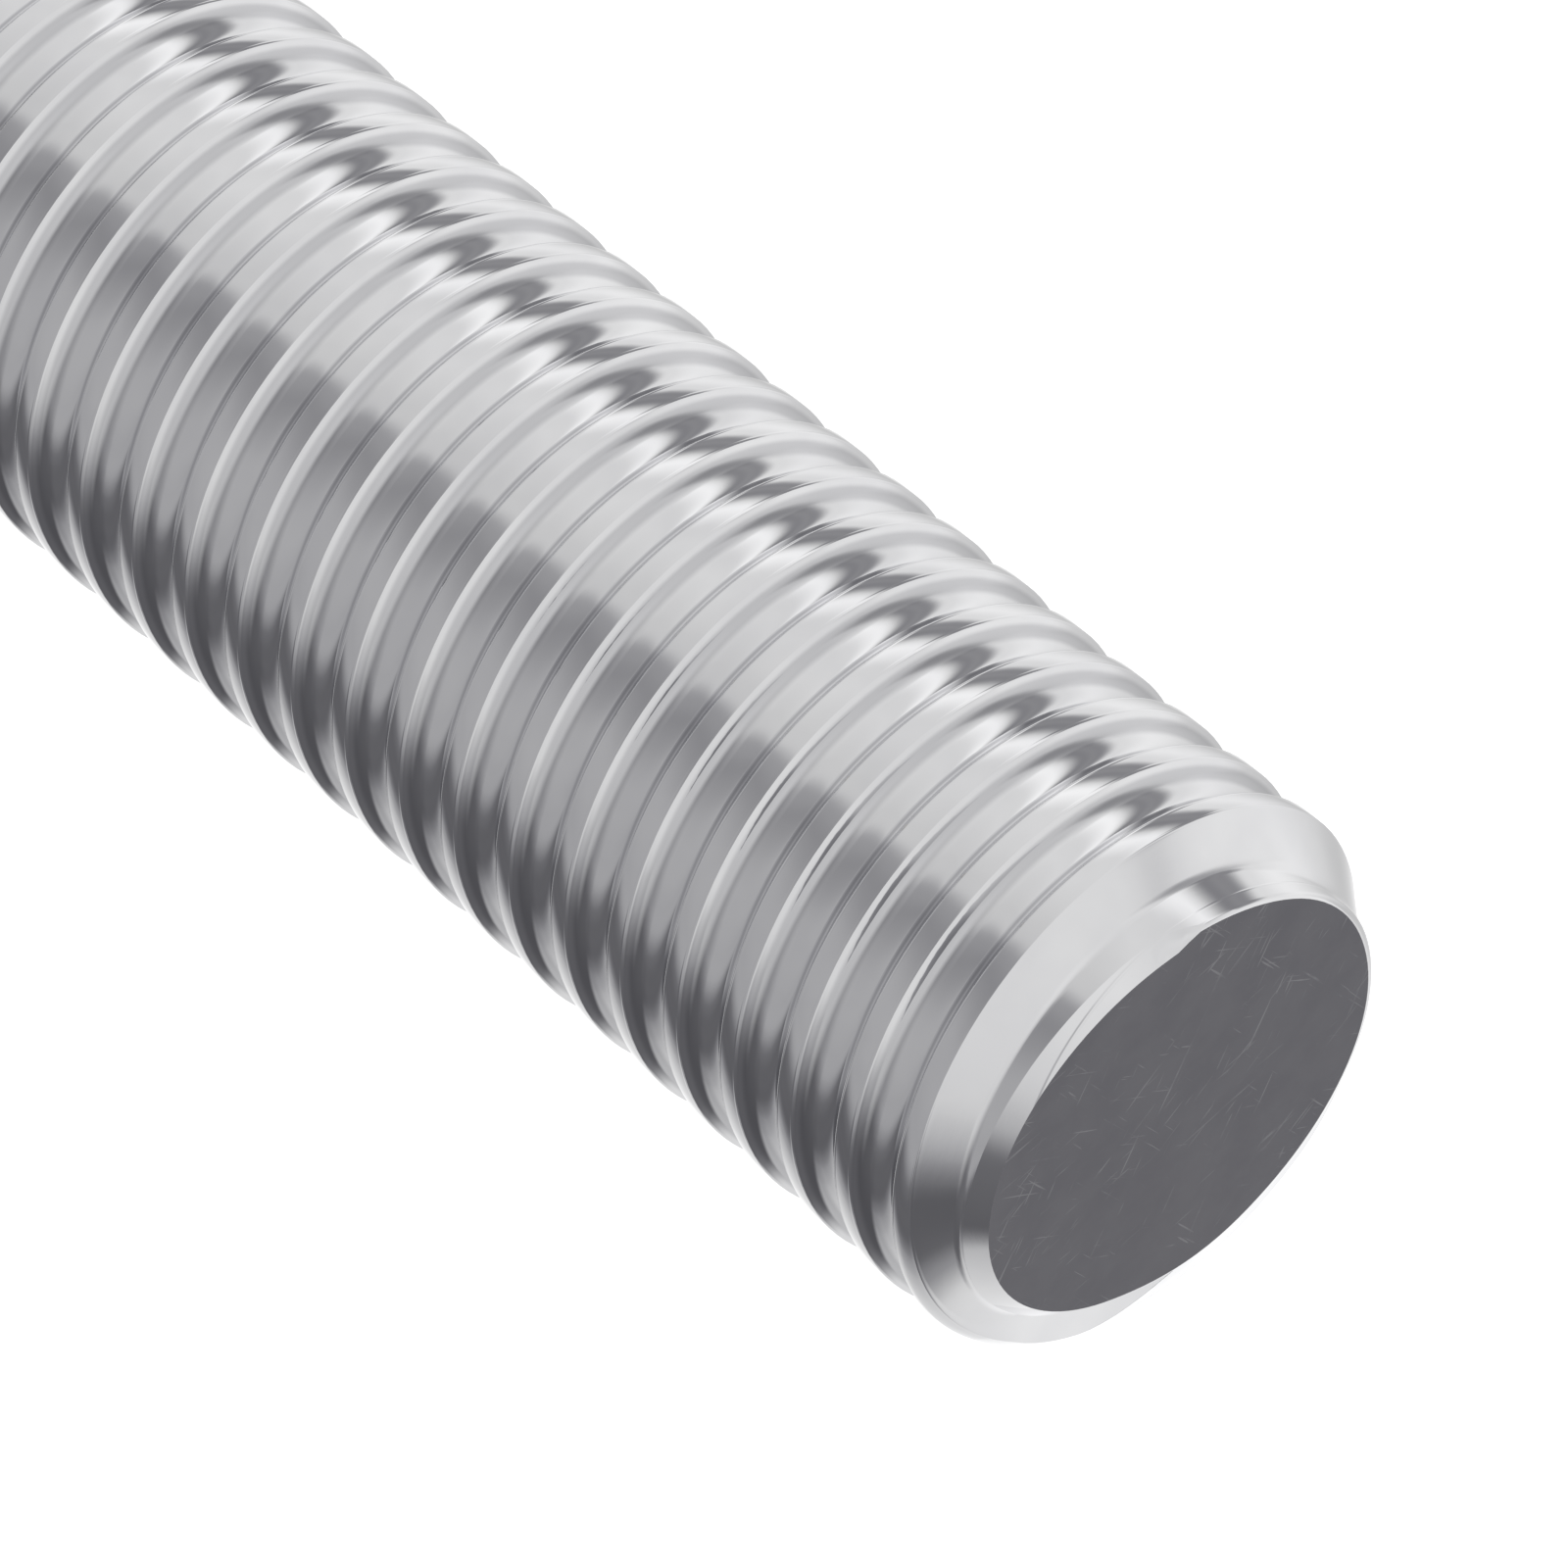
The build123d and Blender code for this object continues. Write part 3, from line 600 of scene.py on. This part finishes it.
def crease_place(turns):
    """Where the thread's end bevel meets the stub: it follows the helix where it's well formed."""
    formed = smooth_step(turns, *CREASE_FORMS) * (1 - smooth_step(turns, *CREASE_FADES))
    climb = np.where(turns < 0, LEAD, CREASE_CLIMB_AFTER * LEAD) * turns / 360
    crease = STUB_X + formed * (CREASE_X + climb - STUB_X)
    bevel, _ = end_bevel(turns)
    limit = face_place(turns, STUB_R) - bevel - STUB_GAP
    return np.minimum(LAST_RIDGE_X + crease, limit)


def thread_part(materials):
    """The rolled thread from its shoulder to the free end, with the end's bevel, stub and face."""
    lathe = Lathe()
    turns = lathe.turns
    offsets, radii, flat = crest_profile(LEAD, GROOVE_R, TRACK_R, SCREW_R, CREST_ROUND, 2, 5)
    per_lead = len(offsets)
    ridge = LAST_RIDGE_X + LEAD * turns / 360
    stub_x = crease_place(turns)
    far = 1 - smooth_step(turns, *RIM_NEARS) * (1 - smooth_step(turns, *DROP_STARTS))

    def thread_radius(x):
        place = np.mod(x - ridge, LEAD)
        return np.interp(place, np.append(offsets, LEAD), np.append(radii, radii[0]))

    def fade(x):
        past = np.maximum(x - LAST_RIDGE_X - FADE_X, 0) / MM
        radius = SCREW_R - FADE_DROP * past ** FADE_POWER
        left = np.clip((stub_x - x) / FAR_DROP, 0, 1)
        dropped = STUB_R + (radius - STUB_R) * (1 - (1 - left) ** 3)
        return radius + (dropped - radius) * far

    def column(x):
        x = np.maximum(x, SHOULDER_X)
        radius = np.minimum(thread_radius(x), SCREW_R - CHAMFER + (x - SHOULDER_X))
        return x, np.minimum(radius, fade(x))

    first = math.ceil((LAST_RIDGE_X - SHOULDER_X) / LEAD) + 2
    columns = []
    for lead_number in range(first, 0, -1):
        for offset in offsets:
            columns.append(column(ridge + offset - lead_number * LEAD))
    columns.append(column(np.minimum(ridge, stub_x)))
    columns.append(column(np.minimum(ridge + flat, stub_x)))
    edge_x = np.minimum(ridge + flat, stub_x - EDGE_GAP)
    edge_r = np.minimum(SCREW_R, fade(edge_x))
    grooved = 1 - smooth_step(turns, *GROOVE_FADES)
    reach = (stub_x - edge_x) * LEAD / (STUB_X + LEAD / 2 - flat)
    steps = list(offsets[2:]) + [LEAD, LEAD + flat]
    for offset in steps:
        x = np.minimum(stub_x, edge_x + (offset - flat) / LEAD * reach)
        share = (x - edge_x) / (stub_x - edge_x)
        fall = (share - CONE_START) / CONE_SPAN
        straight = smooth_min(edge_r, edge_r + (STUB_R - edge_r) * fall, CONE_EDGE_ROUND)
        straight = -smooth_min(-straight, -STUB_R, CREASE_ROUND)
        straight = np.where(share >= 1, STUB_R, straight)
        natural = np.where(share >= 1, STUB_R, np.minimum(thread_radius(x), fade(x)))
        columns.append((x, grooved * natural + (1 - grooved) * straight))
    lathe.ring(SHOULDER_X, CENTRE_R)
    lathe.grid(columns, per_lead)

    bevel, ease = end_bevel(turns)
    inner = STUB_R - bevel
    lathe.ring(stub_x, STUB_R)
    lathe.ring(face_place(turns, STUB_R) - bevel, STUB_R)
    lathe.ring(face_place(turns, STUB_R) - bevel + ease / 2, STUB_R - END_EASE_SAG * ease)
    lathe.ring(face_place(turns, inner) - END_EASE_SAG * ease, inner + ease / 2)
    lathe.ring(face_place(turns, inner), inner)
    for share in FACE_RINGS:
        lathe.ring(face_place(turns, inner * share), inner * share)
    mesh = lathe.mesh("screw_thread")
    smooth(mesh, THREAD_SHARP_ANGLE)
    add_piece("screw_thread", mesh, "screw", materials, ["screw_shaft"])
    paint_end_face(mesh)


FACE_SEARCH = 2 * MM
FACING_OUT = 0.985
RIM_LEFT_BRIGHT = 0.04 * MM


def paint_end_face(mesh):
    """Gives the flat end face the second material."""
    for face in mesh.polygons:
        if face.center.x > LAST_RIDGE_X + STUB_X - FACE_SEARCH and face.normal.x > FACING_OUT:
            reach = math.hypot(face.center.y, face.center.z - AXIS_Z)
            if reach < STUB_R - RIM_LEFT_BRIGHT:
                face.material_index = 1


def journal_part(materials):
    """The ground journals and the lock nut's thread."""
    lathe = Lathe()
    turns = lathe.turns
    low = LOCK_THREAD_START_X - CHAMFER
    lathe.ring(DRIVE_END_X, CENTRE_R)
    lathe.ring(DRIVE_END_X, DRIVE_R - CHAMFER)
    lathe.ring(DRIVE_END_X + CHAMFER, DRIVE_R)
    lathe.ring(low - JOURNAL_EASE, DRIVE_R)
    lathe.ring(low, DRIVE_R + JOURNAL_EASE)
    lathe.ring(low, LOCK_R - CHAMFER)
    profile = np.array(LOCK_THREAD_PROFILE)
    offsets = profile[:, 0] * LOCK_LEAD
    drops = profile[:, 1] * LOCK_THREAD_DEPTH
    columns = []
    count = math.ceil((LOCK_THREAD_END_X - low) / LOCK_LEAD) + 2
    for number in range(-1, count):
        for offset in offsets:
            x = low + LOCK_LEAD * (number + turns / 360 + 0.5) + offset - LOCK_LEAD
            x = np.clip(x, low, LOCK_THREAD_END_X)
            place = np.mod(x - low - LOCK_LEAD * (turns / 360 + 0.5), LOCK_LEAD)
            drop = np.interp(place, np.append(offsets, LOCK_LEAD), np.append(drops, 0.0))
            taper = LOCK_R - CHAMFER + (x - low)
            radius = np.minimum(LOCK_R - drop, taper)
            ends = (x <= low) | (x >= LOCK_THREAD_END_X)
            radius = np.where(ends, LOCK_R - CHAMFER, radius)
            columns.append((x, radius))
    lathe.grid(columns, len(offsets))
    lathe.ring(LOCK_THREAD_END_X, SEAT_R - CHAMFER / 2)
    lathe.ring(LOCK_THREAD_END_X + CHAMFER / 2, SEAT_R)
    lathe.ring(SHOULDER_X, SEAT_R)
    lathe.ring(SHOULDER_X, CENTRE_R)
    mesh = lathe.mesh("screw_journals")
    smooth(mesh, JOURNAL_SHARP_ANGLE)
    add_piece("screw_journals", mesh, "screw", materials, ["screw_shaft"])


# The other pieces keep their CAD shape

WELD_DISTANCE = 1e-6


def dress(node, material, bevel=0.0):
    """Gives a CAD node its material, smooth faces and eased edges."""
    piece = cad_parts[node]
    piece.data.materials.clear()
    piece.data.materials.append(material)
    for face in piece.data.polygons:
        face.material_index = 0
    smooth(piece.data, SHARP_ANGLE)
    if bevel:
        weld = piece.modifiers.new("weld", "WELD")
        weld.merge_threshold = WELD_DISTANCE
        flatten = piece.modifiers.new("flatten", "DECIMATE")
        flatten.decimate_type = "DISSOLVE"
        flatten.angle_limit = math.radians(0.6)
        ease = piece.modifiers.new("ease", "BEVEL")
        ease.width = bevel
        ease.segments = 2
        ease.limit_method = "ANGLE"
        ease.angle_limit = math.radians(32)
        ease.harden_normals = True
        ease.use_clamp_overlap = True


def dress_all():
    """Materials for every node that isn't replaced."""
    blackened = black_oxide("blackened_steel", 0.05, 0.3)
    oxide = black_oxide("black_oxide", 0.03, 0.26)
    turned = plain_metal("turned_steel", (0.56, 0.57, 0.59), 0.26)
    brass = plain_metal("brass", (0.72, 0.53, 0.24), 0.28)
    ground = plain_metal("ground_steel", (0.62, 0.63, 0.65), 0.22)
    plated = plain_metal("plated_steel", (0.67, 0.64, 0.56), 0.25)
    race = plain_metal("bearing_steel", (0.66, 0.67, 0.69), 0.14)
    ball = plain_metal("ball_steel", (0.8, 0.81, 0.83), 0.1)
    spring = plain_metal("spring_steel", (0.4, 0.4, 0.42), 0.28)
    rubber = moulded("nitrile", (0.03, 0.03, 0.032), 0.5)
    cage = moulded("polyamide", (0.72, 0.67, 0.52), 0.42)
    acetal = moulded("acetal", (0.035, 0.035, 0.04), 0.32)
    wiper = moulded("wiper_plastic", (0.78, 0.78, 0.75), 0.4)
    eased = 0.25 * MM
    dress("support_housing", blackened, eased)
    dress("bearing_cover", blackened, eased)
    dress("cover_screws", oxide)
    dress("lock_nut", turned, eased)
    dress("lock_nut_set_screws", oxide)
    dress("lock_nut_pads", brass)
    dress("nut_body", ground, eased)
    dress("grease_nipple", plated)
    for side in ("drive_side", "nut_side"):
        dress("oil_seal_" + side, rubber)
        dress("bearing_outer_ring_" + side, race)
        dress("bearing_inner_ring_" + side, race)
        dress("bearing_cage_" + side, cage)
        dress("bearing_balls_" + side, ball)
        dress("collar_" + side, turned)
    for number in range(1, 5):
        dress("return_deflector_" + str(number), acetal)
        dress("ball_circuit_" + str(number), ball)
    for end in ("flange_end", "free_end"):
        dress("wiper_" + end, wiper)
        dress("wiper_snap_ring_" + end, spring)


bpy.context.scene.view_settings.view_transform = "Standard"
add_camera()
add_world()
add_floor()
shaft_steel = rolled_steel()
thread_part([shaft_steel, sawn_steel()])
journal_part([plain_metal("ground_journal", (0.64, 0.65, 0.67), 0.2)])
dress_all()
